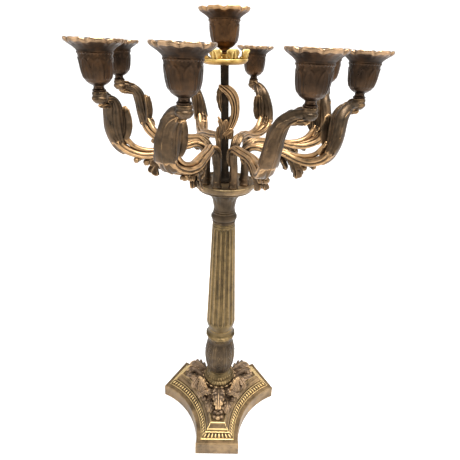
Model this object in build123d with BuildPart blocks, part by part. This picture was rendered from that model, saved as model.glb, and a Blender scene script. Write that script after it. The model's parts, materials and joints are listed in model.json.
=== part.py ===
from build123d import *
import math
import os

# Tabletop candelabra with eight arms and a raised centre light. Millimetres, +Z up, origin at the middle
# of the base on the surface that it stands on. The front foot points along -Y.

os.makedirs("parts", exist_ok=True)

# Driving dimensions
CENTRE_RIM_Z = 619.3
CENTRE_LEAN = 1.9
CUP_RIM_Z = 582.0
CUP_CIRCLE_R = 150.0
POST_CIRCLE_R = 27.0
PLATE_TOP_Z = 421.5
CANDLE_BORE_R = 11.25
CANDLE_BORE_DEPTH = 28.0

# Base
FOOT_REACH = 94.0
FOOT_HALF_WIDTH = 33.0
WAIST_R = 54.0
PLINTH_H = 23.4
LEDGE_INSET = 7.7
BAND_TOP_Z = 32.3
BAND_TOP_INSET = 14.2
STEP_INSET = 16.2
STEP_Z = 35.0
DECK_Z = 44.5
DECK_INSET = 22.7
BASE_WALL = 4.0
DECK_THICKNESS = 6.0

# Column stack: each piece stands on the one below
MOUNT_TOP_Z = 70.0
SOCKET_RING_TOP_Z = 92.0
BALUSTER_TOP_Z = 158.0
LOWER_COLLAR_TOP_Z = 180.0
SHAFT_TOP_Z = 364.0
SHAFT_BOTTOM_R = 22.3
SHAFT_TOP_R = 16.1
FLUTE_COUNT = 16
UPPER_COLLAR_TOP_Z = 381.0
PLATE_R = 40.0
PLATE_THICKNESS = 7.0
CAPITAL_TOP_Z = PLATE_TOP_Z - PLATE_THICKNESS

# Tie rod and its nut
ROD_R = 4.0
ROD_HOLE_R = 4.3
ROD_BOTTOM_Z = 27.0
ROD_TOP_Z = 428.0
NUT_H = 7.0
NUT_R = 7.5
WASHER_H = 2.0
WASHER_R = 12.0
UNDER_DECK_Z = DECK_Z - DECK_THICKNESS

# Centre light
STEM_R = 4.9
STEM_FOOT_R = 7.5
STEM_FOOT_H = 8.5
STEM_BULGES = [(497, 8.5), (520, 9.0), (543, 8.5)]
BULGE_HALF_H = 14.0
PAN_BOTTOM_Z = 564.0
PAN_R = 26.5
PAN_NECK_Z = 574.3

# Studs and screws
STUD_R = 2.5
STUD_HOLE_R = 2.6
STUD_LENGTH = 13.0
SCREW_R = 2.0
SCREW_HOLE_R = 2.3
SCREW_HEAD_R = 3.6
SCREW_HEAD_H = 2.4
SCREW_RECESS = 3.0
SCREW_REACH = 12.0
SCREW_SEAT_Z = CAPITAL_TOP_Z + SCREW_RECESS

# Candle cup, heights measured down from its rim
CUP_H = 45.0
CUP_RIM_R = 26.0
CUP_BODY_R = 16.1
CUP_MOUTH_DEPTH = 6.0
SCALLOP_COUNT = 8

# Arm, in the frame of its own cup: out from the axis, sideways, and up from the hub plate
BOSS_R = 7.5
BOSS_BOTTOM = 108.0
BOSS_TOP = CUP_RIM_Z - CUP_H - PLATE_TOP_Z
POST_R = 4.8
POST_STRAIGHT = 24.0
POST_LAG = 6.5

# (name, post angle, swing of the arm about its post at rest), degrees round from the front
ARMS = [
    ("front", -22.5, 2.4),
    ("front_right", 22.5, 0.0),
    ("right", 67.5, -2.4),
    ("back_right", 112.5, -1.2),
    ("back", 157.5, 1.2),
    ("back_left", 202.5, 0.0),
    ("left", 247.5, -4.9),
    ("front_left", 292.5, 3.7),
]


def save(name, piece):
    piece.label = name
    export_step(piece, f"parts/{name}.step")


def foot_corners(inset):
    """The two outer corners of the front foot, moved in by inset on all sides."""
    reach = FOOT_REACH - inset
    half = FOOT_HALF_WIDTH - inset
    return Vector(half, -reach), Vector(-half, -reach)


def tripod_outline(inset):
    """Three straight foot ends joined by three concave sides."""
    waist = WAIST_R - inset
    right, left = foot_corners(inset)
    with BuildLine() as outline:
        for k in range(3):
            turn = 120 * k
            start = right.rotate(Axis.Z, turn)
            end = left.rotate(Axis.Z, turn + 120)
            middle = Vector(waist, 0).rotate(Axis.Z, turn - 30)
            ThreePointArc(start, middle, end)
            Line(end, right.rotate(Axis.Z, turn + 120))
    return outline.line


def storey(bottom_z, bottom_inset, top_z, top_inset):
    """One storey of the base: the tripod outline at two heights, joined by a ruled wall."""
    with BuildPart() as piece:
        for z, inset in ((bottom_z, bottom_inset), (top_z, top_inset)):
            with BuildSketch(Plane.XY.offset(z)):
                with BuildLine():
                    add(tripod_outline(inset))
                make_face()
        loft(ruled=True)
    return piece.part


# Base plinth: a moulded three-footed shell, open underneath
PLINTH_STOREYS = [
    storey(0, 0, PLINTH_H, 0),
    storey(PLINTH_H, LEDGE_INSET, BAND_TOP_Z, BAND_TOP_INSET),
    storey(BAND_TOP_Z, BAND_TOP_INSET, STEP_Z, STEP_INSET),
    storey(STEP_Z, STEP_INSET, DECK_Z, DECK_INSET),
]
PLINTH_HOLLOWS = [
    storey(0, BASE_WALL, PLINTH_H - BASE_WALL, BASE_WALL + 2),
    storey(PLINTH_H - BASE_WALL, BAND_TOP_INSET + 2, UNDER_DECK_Z, DECK_INSET + 3),
]

with BuildPart() as base_plinth:
    add(PLINTH_STOREYS)
    add(PLINTH_HOLLOWS, mode=Mode.SUBTRACT)
    with Locations((0, 0, DECK_Z)):
        Hole(ROD_HOLE_R)
save("base_plinth", base_plinth.part)


# Foliate mount: bell-shaped core with a long leaf over each foot and a shell over each side
LEAF_PATH = [(20, 60, 10, 9), (34, 68, 13, 8), (47, 70, 13, 7), (57, 65, 10, 6), (62, 56, 6, 5)]
with BuildPart() as foliate_mount:
    with BuildSketch(Plane.XZ):
        with BuildLine():
            foot = (32, DECK_Z)
            top = (24, MOUNT_TOP_Z)
            Line((ROD_HOLE_R, DECK_Z), foot)
            Spline(foot, (27, DECK_Z + 8), (21, DECK_Z + 18), top)
            Polyline(top, (ROD_HOLE_R, MOUNT_TOP_Z), (ROD_HOLE_R, DECK_Z))
        make_face()
    revolve(axis=Axis.Z)
    for turn in (0, 120, 240):
        for k in range(len(LEAF_PATH) - 1):
            for r, z, width, depth in LEAF_PATH[k:k + 2]:
                origin = Vector(0, -r, z).rotate(Axis.Z, turn)
                outward = Vector(0, -1, 0).rotate(Axis.Z, turn)
                across = Vector(1, 0, 0).rotate(Axis.Z, turn)
                with BuildSketch(Plane(origin, x_dir=across, z_dir=outward)):
                    Ellipse(width, depth / 2)
            loft(ruled=True)
    with PolarLocations(58, 3, start_angle=-90):
        with Locations((0, 0, DECK_Z + 5)):
            Sphere(6.5)
    with PolarLocations(31, 3, start_angle=-30):
        with Locations((0, 0, DECK_Z + 6)):
            Sphere(9.5)
    with Locations((0, 0, DECK_Z - 20)):
        Cylinder(120, 20, align=(Align.CENTER, Align.CENTER, Align.MIN), mode=Mode.SUBTRACT)
save("foliate_mount", foliate_mount.part)


# Socket ring: leaf-edged ring below, dished lip above
with BuildPart() as socket_ring:
    with BuildSketch(Plane.XZ):
        with BuildLine():
            Polyline(
                (ROD_HOLE_R, MOUNT_TOP_Z), (23, MOUNT_TOP_Z), (24.5, 73), (23, 76), (20, 78),
                (20.5, 81), (19, 84), (16.5, 87), (16.5, SOCKET_RING_TOP_Z),
                (ROD_HOLE_R, SOCKET_RING_TOP_Z), close=True,
            )
        make_face()
    revolve(axis=Axis.Z)
save("socket_ring", socket_ring.part)


# Baluster: inverted pear, widest low down, with a short neck above
with BuildPart() as baluster:
    with BuildSketch(Plane.XZ):
        with BuildLine():
            foot = (17, SOCKET_RING_TOP_Z)
            neck = (17.5, BALUSTER_TOP_Z)
            Line((ROD_HOLE_R, SOCKET_RING_TOP_Z), foot)
            Spline(foot, (21.5, 106), (24, 124), (22.5, 140), (18.6, 152), neck)
            Polyline(neck, (ROD_HOLE_R, BALUSTER_TOP_Z), (ROD_HOLE_R, SOCKET_RING_TOP_Z))
        make_face()
    revolve(axis=Axis.Z)
save("baluster", baluster.part)


# Lower collar: flared ring under the shaft
with BuildPart() as lower_collar:
    with BuildSketch(Plane.XZ):
        with BuildLine():
            Polyline(
                (ROD_HOLE_R, BALUSTER_TOP_Z), (18.5, BALUSTER_TOP_Z), (20, 161), (22.7, 165),
                (22.7, 169), (19.5, 172), (18.5, 176), (19, LOWER_COLLAR_TOP_Z),
                (ROD_HOLE_R, LOWER_COLLAR_TOP_Z), close=True,
            )
        make_face()
    revolve(axis=Axis.Z)
save("lower_collar", lower_collar.part)


# Column shaft: tapered, fluted and hollow
FLUTE_BOTTOM_Z = 196.0
FLUTE_TOP_Z = 356.0
FLUTE_BOTTOM_R = 3.2
FLUTE_TOP_R = 2.2
SHAFT_BORE_R = 9.0


def shaft_radius(z):
    """Outer radius of the plain taper at a height."""
    share = (z - 191.5) / (360 - 191.5)
    return SHAFT_BOTTOM_R + (SHAFT_TOP_R - SHAFT_BOTTOM_R) * share


with BuildPart() as column_shaft:
    with BuildSketch(Plane.XZ):
        with BuildLine():
            foot = (19, LOWER_COLLAR_TOP_Z)
            shoulder = (SHAFT_BOTTOM_R, 191.5)
            Line((SHAFT_BORE_R, LOWER_COLLAR_TOP_Z), foot)
            Spline(foot, (20.8, 185), shoulder)
            Polyline(shoulder, (SHAFT_TOP_R, 360), (SHAFT_TOP_R, SHAFT_TOP_Z),
                     (SHAFT_BORE_R, SHAFT_TOP_Z), (SHAFT_BORE_R, LOWER_COLLAR_TOP_Z))
        make_face()
    revolve(axis=Axis.Z)
    for k in range(FLUTE_COUNT):
        angle = 360 / FLUTE_COUNT * (k + 0.5)
        for z, flute_r in ((FLUTE_BOTTOM_Z, FLUTE_BOTTOM_R), (FLUTE_TOP_Z, FLUTE_TOP_R)):
            centre = Vector(shaft_radius(z) + flute_r * 0.35, 0).rotate(Axis.Z, angle)
            with BuildSketch(Plane.XY.offset(z)):
                with Locations((centre.X, centre.Y)):
                    Circle(flute_r)
        loft(mode=Mode.SUBTRACT)
save("column_shaft", column_shaft.part)


# Upper collar: rounded ring on the shaft's top
with BuildPart() as upper_collar:
    with BuildSketch(Plane.XZ):
        with BuildLine():
            Line((ROD_HOLE_R, SHAFT_TOP_Z), (SHAFT_TOP_R, SHAFT_TOP_Z))
            Line((SHAFT_TOP_R, SHAFT_TOP_Z), (16, 368))
            ThreePointArc((16, 368), (17.6, 372.5), (16, 377))
            Polyline((16, 377), (14.8, UPPER_COLLAR_TOP_Z), (ROD_HOLE_R, UPPER_COLLAR_TOP_Z),
                     (ROD_HOLE_R, SHAFT_TOP_Z))
        make_face()
    revolve(axis=Axis.Z)
save("upper_collar", upper_collar.part)


# Capital: waisted neck that flares out under the hub plate
with BuildPart() as capital:
    with BuildSketch(Plane.XZ):
        with BuildLine():
            foot = (14.8, UPPER_COLLAR_TOP_Z)
            lip = (36, CAPITAL_TOP_Z)
            Line((ROD_HOLE_R, UPPER_COLLAR_TOP_Z), foot)
            Spline(foot, (14.7, 391), (16.2, 400), (22, 408), lip)
            Polyline(lip, (ROD_HOLE_R, CAPITAL_TOP_Z), (ROD_HOLE_R, UPPER_COLLAR_TOP_Z))
        make_face()
    revolve(axis=Axis.Z)
save("capital", capital.part)


# Hub plate: shallow dish with a raised rim and a countersunk hole under each post
with BuildPart() as hub_plate:
    with BuildSketch(Plane.XZ):
        with BuildLine():
            Polyline(
                (ROD_HOLE_R, CAPITAL_TOP_Z), (36.5, CAPITAL_TOP_Z), (PLATE_R, CAPITAL_TOP_Z + 3),
                (PLATE_R, PLATE_TOP_Z + 1), (PLATE_R - 2, PLATE_TOP_Z + 2), (PLATE_R - 4, PLATE_TOP_Z),
                (ROD_HOLE_R, PLATE_TOP_Z), close=True,
            )
        make_face()
    revolve(axis=Axis.Z)
    with Locations(Plane(origin=(0, 0, CAPITAL_TOP_Z), z_dir=(0, 0, -1))):
        for name, post_angle, swing in ARMS:
            angle = math.radians(post_angle)
            with Locations((POST_CIRCLE_R * math.sin(angle), POST_CIRCLE_R * math.cos(angle))):
                CounterBoreHole(SCREW_HOLE_R, SCREW_HEAD_R + 0.4, SCREW_RECESS, PLATE_THICKNESS)
save("hub_plate", hub_plate.part)


# Tie rod, washer and nut
with BuildPart() as tie_rod:
    with BuildSketch(Plane.XY.offset(ROD_BOTTOM_Z)):
        Circle(ROD_R)
    extrude(amount=ROD_TOP_Z - ROD_BOTTOM_Z)
    chamfer(tie_rod.edges().filter_by(GeomType.CIRCLE), 0.6)
save("tie_rod", tie_rod.part)

with BuildPart() as base_washer:
    with BuildSketch(Plane.XY.offset(UNDER_DECK_Z)):
        Circle(WASHER_R)
        Circle(ROD_HOLE_R, mode=Mode.SUBTRACT)
    extrude(amount=-WASHER_H)
save("base_washer", base_washer.part)

with BuildPart() as base_nut:
    with BuildSketch(Plane.XY.offset(UNDER_DECK_Z - WASHER_H)):
        RegularPolygon(NUT_R, 6)
        Circle(ROD_R + 0.05, mode=Mode.SUBTRACT)
    extrude(amount=-NUT_H)
save("base_nut", base_nut.part)


def leaned(piece):
    """A piece of the centre light, leaned towards -X about the foot of its stem."""
    return piece.rotate(Axis((0, 0, PLATE_TOP_Z), (0, 1, 0)), -CENTRE_LEAN)


# Centre stem: leaning rod on a round foot, with swellings where leaves wind round it
with BuildPart() as stem_rod:
    with BuildSketch(Plane.XY.offset(PLATE_TOP_Z + 2)):
        Circle(STEM_R)
    extrude(amount=PAN_BOTTOM_Z - PLATE_TOP_Z - 2)
    for z, bulge_r in STEM_BULGES:
        bottom = (0, z - BULGE_HALF_H)
        top = (0, z + BULGE_HALF_H)
        with BuildSketch(Plane.XZ):
            with BuildLine():
                Line(bottom, top)
                Spline(top, (STEM_R + 0.5, z + 9), (bulge_r, z), (STEM_R + 0.5, z - 9), bottom)
            make_face()
        revolve(axis=Axis.Z)
    with Locations((0, 0, PAN_BOTTOM_Z)):
        Cylinder(STUD_HOLE_R, 9, mode=Mode.SUBTRACT, align=(Align.CENTER, Align.CENTER, Align.MAX))

with BuildPart() as centre_stem:
    with BuildSketch(Plane.XY.offset(PLATE_TOP_Z)):
        Circle(STEM_FOOT_R)
    extrude(amount=STEM_FOOT_H)
    add(leaned(stem_rod.part))
    with Locations((0, 0, PLATE_TOP_Z)):
        Cylinder(ROD_R + 0.05, ROD_TOP_Z - PLATE_TOP_Z + 1, mode=Mode.SUBTRACT,
                 align=(Align.CENTER, Align.CENTER, Align.MIN))
save("centre_stem", centre_stem.part)


# Drip pan: shallow pan with upturned leaf points round its edge
with BuildPart() as centre_drip_pan:
    with BuildSketch(Plane.XZ):
        with BuildLine():
            Polyline(
                (STUD_HOLE_R, PAN_BOTTOM_Z), (19, PAN_BOTTOM_Z), (25, PAN_BOTTOM_Z + 4),
                (PAN_R, PAN_BOTTOM_Z + 14), (PAN_R - 2, PAN_BOTTOM_Z + 14), (22.8, PAN_BOTTOM_Z + 5.5),
                (18, PAN_BOTTOM_Z + 2.5), (6.5, PAN_BOTTOM_Z + 2.5), (6, PAN_NECK_Z),
                (STUD_HOLE_R, PAN_NECK_Z), close=True,
            )
        make_face()
    revolve(axis=Axis.Z)
    with PolarLocations(PAN_R, 8, start_angle=22.5):
        with Locations((0, 0, PAN_BOTTOM_Z + 16)):
            Sphere(8, mode=Mode.SUBTRACT)
save("centre_drip_pan", leaned(centre_drip_pan.part))


def cup(rim_z, x, y):
    """A candle cup with its rim at rim_z over the point x, y."""
    with BuildPart(Plane((x, y, rim_z))) as piece:
        with BuildSketch(Plane(origin=(x, y, rim_z), x_dir=(1, 0, 0), z_dir=(0, -1, 0))):
            with BuildLine():
                Polyline((0, -CUP_H), (6, -CUP_H), (6.6, -43.4), (5.2, -41.6), (5, -39))
                Spline((5, -39), (7.5, -37.6), (12.6, -34.5), (15.3, -29))
                Polyline((15.3, -29), (CUP_BODY_R, -20), (CUP_BODY_R, -9), (18.5, -6), (23.5, -3),
                         (CUP_RIM_R, -1.6), (CUP_RIM_R, 0), (23.5, 0), (CANDLE_BORE_R, -CUP_MOUTH_DEPTH),
                         (CANDLE_BORE_R, -CUP_MOUTH_DEPTH - CANDLE_BORE_DEPTH),
                         (0, -CUP_MOUTH_DEPTH - CANDLE_BORE_DEPTH), (0, -CUP_H))
            make_face()
        revolve(axis=Axis((x, y, rim_z), (0, 0, 1)))
        with PolarLocations(CUP_RIM_R + 2.6, SCALLOP_COUNT):
            Cylinder(4.2, 12, mode=Mode.SUBTRACT)
        with Locations((0, 0, -CUP_H)):
            Cylinder(STUD_HOLE_R, 8, mode=Mode.SUBTRACT, align=(Align.CENTER, Align.CENTER, Align.MIN))
    return piece.part


def stud(bottom_z, length, x, y):
    """A threaded stud, drawn at its major diameter."""
    with BuildPart() as piece:
        with BuildSketch(Plane((x, y, bottom_z))):
            Circle(STUD_R)
        extrude(amount=length)
    return piece.part


save("centre_cup", leaned(cup(CENTRE_RIM_Z, 0, 0)))
save("centre_cup_stud", leaned(stud(PAN_BOTTOM_Z - 8, PAN_NECK_Z + 15 - PAN_BOTTOM_Z, 0, 0)))


# Arm pattern, made once with its cup straight ahead of the hub along -Y. Each row of the scroll is a
# section: out, sideways (positive towards +X), up, width across and thickness.
POST_OUT = POST_CIRCLE_R * math.cos(math.radians(POST_LAG))
POST_SIDE = -POST_CIRCLE_R * math.sin(math.radians(POST_LAG))
SCROLL = [
    (POST_OUT, POST_SIDE, 22, 9.6, 9.6),
    (27.0, -4.5, 38, 10.0, 10.0),
    (35, -7, 50, 11.0, 9.5),
    (53, -7.5, 50, 12.0, 9.0),
    (74, -8.5, 47.5, 13.5, 8.5),
    (95, -12, 43.5, 16.0, 9.0),
    (112, -19, 45.5, 19.0, 9.5),
    (126, -24, 57, 21.0, 10.0),
    (133, -25, 74, 19.5, 10.0),
    (135, -21, 90, 14.5, 9.5),
    (140, -12, 103, 11.0, 9.0),
    (149, -1, 110, 10.0, 8.0),
]
SHEATH = [(123, -22, 58, 14, 5), (121, -20, 74, 15, 6), (121, -17, 88, 12, 6), (120, -15, 98, 6, 4)]
LOBES = [(113, -15, 38, 4.6), (102, -13, 36, 4.4), (93, -9, 34, 6.5), (93, -8, 26, 5.5), (94, -7, 20, 4.2)]


def section_plane(points, k):
    """Plane across the run of points at point k, its X axis sideways."""
    before = Vector(*points[max(k - 1, 0)][:3])
    after = Vector(*points[min(k + 1, len(points) - 1)][:3])
    along = (after - before).normalized()
    sideways = Vector(0, 1, 0) - along * along.Y
    return Plane(origin=Vector(*points[k][:3]), x_dir=sideways, z_dir=along)


with BuildPart() as arm_pattern:
    with BuildSketch(Plane((POST_OUT, POST_SIDE, 0))):
        Circle(POST_R)
    extrude(amount=POST_STRAIGHT)
    for k in range(len(SCROLL)):
        with BuildSketch(section_plane(SCROLL, k)):
            Ellipse(SCROLL[k][3] / 2, SCROLL[k][4] / 2)
    loft()
    for k in range(len(SHEATH)):
        with BuildSketch(section_plane(SHEATH, k)):
            Ellipse(SHEATH[k][3] / 2, SHEATH[k][4] / 2)
    loft()
    for out, side, up, radius in LOBES:
        with Locations((out, side, up)):
            Sphere(radius)
    with BuildSketch(Plane((CUP_CIRCLE_R, 0, BOSS_BOTTOM))):
        Circle(BOSS_R)
    extrude(amount=BOSS_TOP - BOSS_BOTTOM)
    with Locations((CUP_CIRCLE_R, 0, BOSS_TOP)):
        Cylinder(STUD_HOLE_R, 5.5, mode=Mode.SUBTRACT, align=(Align.CENTER, Align.CENTER, Align.MAX))
    with Locations((POST_OUT, POST_SIDE, 0)):
        Cylinder(SCREW_R + 0.05, SCREW_REACH, mode=Mode.SUBTRACT,
                 align=(Align.CENTER, Align.CENTER, Align.MIN))

# One arm, screw, cup and stud at each post, all swung together about the post
for name, post_angle, swing in ARMS:
    direction = math.radians(post_angle - 90)
    post = Vector(POST_CIRCLE_R * math.cos(direction), POST_CIRCLE_R * math.sin(direction), 0)
    turn = Location((0, 0, 0), (0, 0, post_angle + POST_LAG - 90))
    swung = Location(post) * Location((0, 0, 0), (0, 0, swing)) * Location(-post)
    place = swung * turn
    axis_top = place * Location((CUP_CIRCLE_R, 0, 0))
    x = axis_top.position.X
    y = axis_top.position.Y

    with BuildPart() as arm:
        add(place * Location((0, 0, PLATE_TOP_Z)) * arm_pattern.part)
    save(f"arm_{name}", arm.part)

    with BuildPart() as arm_screw:
        with BuildSketch(Plane((post.X, post.Y, SCREW_SEAT_Z))):
            Circle(SCREW_HEAD_R)
        extrude(amount=-SCREW_HEAD_H)
        with BuildSketch(Plane((post.X, post.Y, SCREW_SEAT_Z))):
            Circle(SCREW_R)
        extrude(amount=PLATE_TOP_Z + SCREW_REACH - 1 - SCREW_SEAT_Z)
    save(f"arm_screw_{name}", arm_screw.part)

    save(f"cup_{name}", cup(CUP_RIM_Z, x, y))
    save(f"cup_stud_{name}", stud(PLATE_TOP_Z + BOSS_TOP - 5, STUD_LENGTH - 1, x, y))
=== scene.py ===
"""Tabletop candelabra: the visible castings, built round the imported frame. The object's lengths are in
millimetres until a mesh is made; the stage, lights and camera are in metres. Angles are in radians."""

import json
import math

import bpy
import numpy as np
from mathutils import Matrix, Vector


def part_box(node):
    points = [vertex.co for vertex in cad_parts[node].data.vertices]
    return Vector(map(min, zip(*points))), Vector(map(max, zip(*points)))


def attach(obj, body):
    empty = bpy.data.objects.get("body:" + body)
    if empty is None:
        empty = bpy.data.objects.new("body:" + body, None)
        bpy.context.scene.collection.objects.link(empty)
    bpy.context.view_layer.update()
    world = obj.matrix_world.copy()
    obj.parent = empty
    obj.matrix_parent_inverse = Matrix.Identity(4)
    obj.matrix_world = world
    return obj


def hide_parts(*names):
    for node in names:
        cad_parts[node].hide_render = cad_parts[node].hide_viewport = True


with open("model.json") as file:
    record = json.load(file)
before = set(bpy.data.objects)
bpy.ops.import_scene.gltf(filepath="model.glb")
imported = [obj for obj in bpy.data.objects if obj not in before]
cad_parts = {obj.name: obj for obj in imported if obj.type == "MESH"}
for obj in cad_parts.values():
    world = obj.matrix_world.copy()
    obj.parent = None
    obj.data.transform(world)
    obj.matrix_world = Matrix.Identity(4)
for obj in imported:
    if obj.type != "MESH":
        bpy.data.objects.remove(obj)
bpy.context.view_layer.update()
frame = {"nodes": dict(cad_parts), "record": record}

MM = 0.001
TAU = 2 * math.pi
SIXTY = math.radians(60)
RECORD = frame["record"]
MOUNTS = {m["name"]: np.array(m["pos_m"]) / MM for m in RECORD["mounts"]}
JOINTS = {j["name"]: np.array(j["pos_m"]) / MM for j in RECORD["behaviour"]["joints"]}
CENTRE_AXIS = next(m["axis"] for m in RECORD["mounts"] if m["name"] == "socket_centre")
HUB_TOP = JOINTS["swing_front"][2]
SOCKET_TO_RIM = 20.0
ARM_NAMES = [name[len("swing_"):] for name in JOINTS]
FINE = 1.0


# ------------------------------------------------------------------ small mathematics


def unit(v):
    return v / np.maximum(np.linalg.norm(v, axis=-1, keepdims=True), 1e-9)


def smooth(x):
    """Smooth step from 0 to 1 while x goes from 0 to 1."""
    x = np.clip(x, 0, 1)
    return x * x * (3 - 2 * x)


def bump(x, centre, width):
    """A rounded hill of height 1."""
    return np.exp(-(((x - centre) / width) ** 2))


def through(points, count):
    """A smooth curve through rows of numbers whose first three columns are a place."""
    p = np.asarray(points, float)
    t = np.concatenate([[0], np.cumsum(np.linalg.norm(np.diff(p[:, :3], axis=0), axis=1))])
    slope = np.gradient(p, t, axis=0)
    at = np.linspace(0, t[-1], count)
    k = np.clip(np.searchsorted(t, at, side="right") - 1, 0, len(t) - 2)
    h = (t[k + 1] - t[k])[:, None]
    u = (at - t[k])[:, None] / h
    start = (2 * u**3 - 3 * u**2 + 1) * p[k] + (u**3 - 2 * u**2 + u) * h * slope[k]
    return start + (3 * u**2 - 2 * u**3) * p[k + 1] + (u**3 - u**2) * h * slope[k + 1]


def moulding(points, step=0.5, corner=0.5, most=24):
    """A dense profile along a polyline, its corners rounded. A point may state its own corner."""
    dense = [np.array(points[0][:2], float)]
    for before, here, after in zip(points, points[1:], points[2:]):
        p, a, b = (np.array(q[:2], float) for q in (here, before, after))
        cut = here[2] if len(here) > 2 else corner
        cut = min(cut, np.linalg.norm(a - p) * 0.49, np.linalg.norm(b - p) * 0.49)
        start, end = p + unit(a - p) * cut, p + unit(b - p) * cut
        for u in np.linspace(0, 1, 6):
            dense.append((1 - u) ** 2 * start + 2 * u * (1 - u) * p + u**2 * end)
    dense.append(np.array(points[-1][:2], float))
    out = [dense[0]]
    for a, b in zip(dense, dense[1:]):
        n = min(most, max(1, int(math.ceil(np.linalg.norm(b - a) / (step / FINE)))))
        out += [a + (b - a) * k / n for k in range(1, n + 1)]
    keep = [out[0]] + [b for a, b in zip(out, out[1:]) if np.linalg.norm(b - a) > 1e-4]
    return np.array(keep)


def sideways(along):
    """The direction nearest to +Y that is square to each step of a path."""
    return unit(np.array([0, 1.0, 0]) - along * along[:, 1:2])


def foot_of(node):
    """The height of the lowest point of a CAD node."""
    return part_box(node)[0][2] / MM


# ------------------------------------------------------------------ meshes


SMOOTHING_ROUNDS = 2
SHORTEST_EDGE = 0.2


def shown(name, data):
    item = bpy.data.objects.new(name, data)
    bpy.context.scene.collection.objects.link(item)
    return item


class Casting:
    """Vertices and faces gathered from several closed forms, which become one piece."""

    def __init__(self):
        self.verts, self.tints, self.faces, self.count = [], [], [], 0

    def add(self, verts, faces, tint=0.0):
        self.verts.append(np.asarray(verts, float))
        self.tints.append(np.broadcast_to(np.asarray(tint, float), len(verts)))
        self.faces += [tuple(int(k) + self.count for k in f) for f in faces]
        self.count += len(verts)

    def grid(self, P, tint=0.0):
        """A closed net of rows, capped at both ends. tint above 0 is painted highlight and wear, below 0
        painted shade and dirt.
        """
        rows, cols = P.shape[:2]
        faces = []
        for i in range(rows - 1):
            a, b = i * cols, (i + 1) * cols
            faces += [(a + j, a + (j + 1) % cols, b + (j + 1) % cols, b + j) for j in range(cols)]
        faces.append(tuple(range(cols - 1, -1, -1)))
        faces.append(tuple(range((rows - 1) * cols, rows * cols)))
        self.add(P.reshape(-1, 3), faces, np.broadcast_to(tint, (rows, cols)).reshape(-1))

    def moved(self, move):
        """The same casting with a function applied to its vertices."""
        other = Casting()
        other.add(move(np.concatenate(self.verts)), self.faces, np.concatenate(self.tints))
        return other

    def join(self, other):
        self.add(np.concatenate(other.verts), other.faces, np.concatenate(other.tints))

    def repeat(self, part, count, start=0.0):
        """Joins copies of another casting, evenly spaced round the Z axis."""
        for k in range(count):
            self.join(part.moved(lambda v, k=k: turned(v, start + k * TAU / count)))

    def piece(self, name, material, body, nodes, slot):
        verts = np.concatenate(self.verts) * MM
        mesh = bpy.data.meshes.new(name)
        mesh.from_pydata(verts.tolist(), [], self.faces)
        layer = mesh.attributes.new("tint", "FLOAT", "POINT")
        layer.data.foreach_set("value", np.concatenate(self.tints).astype(np.float32))
        mesh.validate()
        mesh.update()
        mesh.shade_smooth()
        mark_edges(mesh)
        mesh.materials.append(material)
        piece = shown(name, mesh)
        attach(piece, body)
        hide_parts(*nodes)


def mark_edges(mesh):
    """Stores how convex each vertex is: 0.5 is flat, towards 1 an edge, towards 0 a groove."""
    n = len(mesh.vertices)
    place, normal = np.empty(n * 3), np.empty(n * 3)
    mesh.vertices.foreach_get("co", place)
    mesh.vertices.foreach_get("normal", normal)
    place, normal = place.reshape(-1, 3) / MM, normal.reshape(-1, 3)
    edge = np.empty(len(mesh.edges) * 2, dtype=np.int32)
    mesh.edges.foreach_get("vertices", edge)
    a, b = edge.reshape(-1, 2).T
    gap = place[b] - place[a]
    far = np.maximum((gap**2).sum(1), SHORTEST_EDGE**2)
    total = np.bincount(a, -(normal[a] * gap).sum(1) / far, n)
    total += np.bincount(b, (normal[b] * gap).sum(1) / far, n)
    degree = np.maximum(np.bincount(a, minlength=n) + np.bincount(b, minlength=n), 1)
    bend = np.clip(total / degree, -2, 2)
    for _ in range(SMOOTHING_ROUNDS):
        mean = (np.bincount(a, bend[b], n) + np.bincount(b, bend[a], n)) / degree
        bend = 0.5 * bend + 0.5 * mean
    layer = mesh.attributes.new("edge", "FLOAT", "POINT")
    layer.data.foreach_set("value", np.clip(0.5 + 0.5 * bend, 0, 1).astype(np.float32))


def lathe(profile, around, relief=None, shape=None):
    """A turned form. relief(angle, radius, height) pushes the surface out, shape moves the finished net."""
    around = int(around * FINE)
    angle = np.linspace(0, TAU, around, endpoint=False)[None, :]
    r, z = profile[:, :1], profile[:, 1:2]
    slope = unit(np.gradient(profile, axis=0))
    push = np.zeros((len(profile), around))
    if relief is not None:
        push = relief(angle + 0 * r, r + 0 * angle, z + 0 * angle)
    R = r + slope[:, 1:2] * push
    Z = z - slope[:, :1] * push
    if shape is not None:
        R, Z = shape(angle + 0 * R, R, Z)
    return np.stack([R * np.cos(angle), R * np.sin(angle), Z], axis=-1)


def strap(rows, count, around, grooves=None):
    """A bar of oval section. Each row: place, width, depth. grooves(share, phi) is how far the skin sinks."""
    c = through(rows, int(count * FINE))
    place, width, depth = c[:, :3], c[:, 3:4], c[:, 4:5]
    along = unit(np.gradient(place, axis=0))
    side = sideways(along)
    inner = np.cross(along, side)
    phi = np.linspace(0, TAU, int(around * FINE), endpoint=False)[None, :]
    share = np.linspace(0, 1, len(c))[:, None]
    sink = grooves(share, phi) if grooves else 0 * phi + 0 * share
    x = np.sign(np.cos(phi)) * np.abs(np.cos(phi)) ** 0.85 * (width / 2 - sink)
    y = np.sign(np.sin(phi)) * np.abs(np.sin(phi)) ** 0.85 * (depth / 2 - sink)
    return place[:, None] + side[:, None] * x[..., None] + inner[:, None] * y[..., None]


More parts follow.
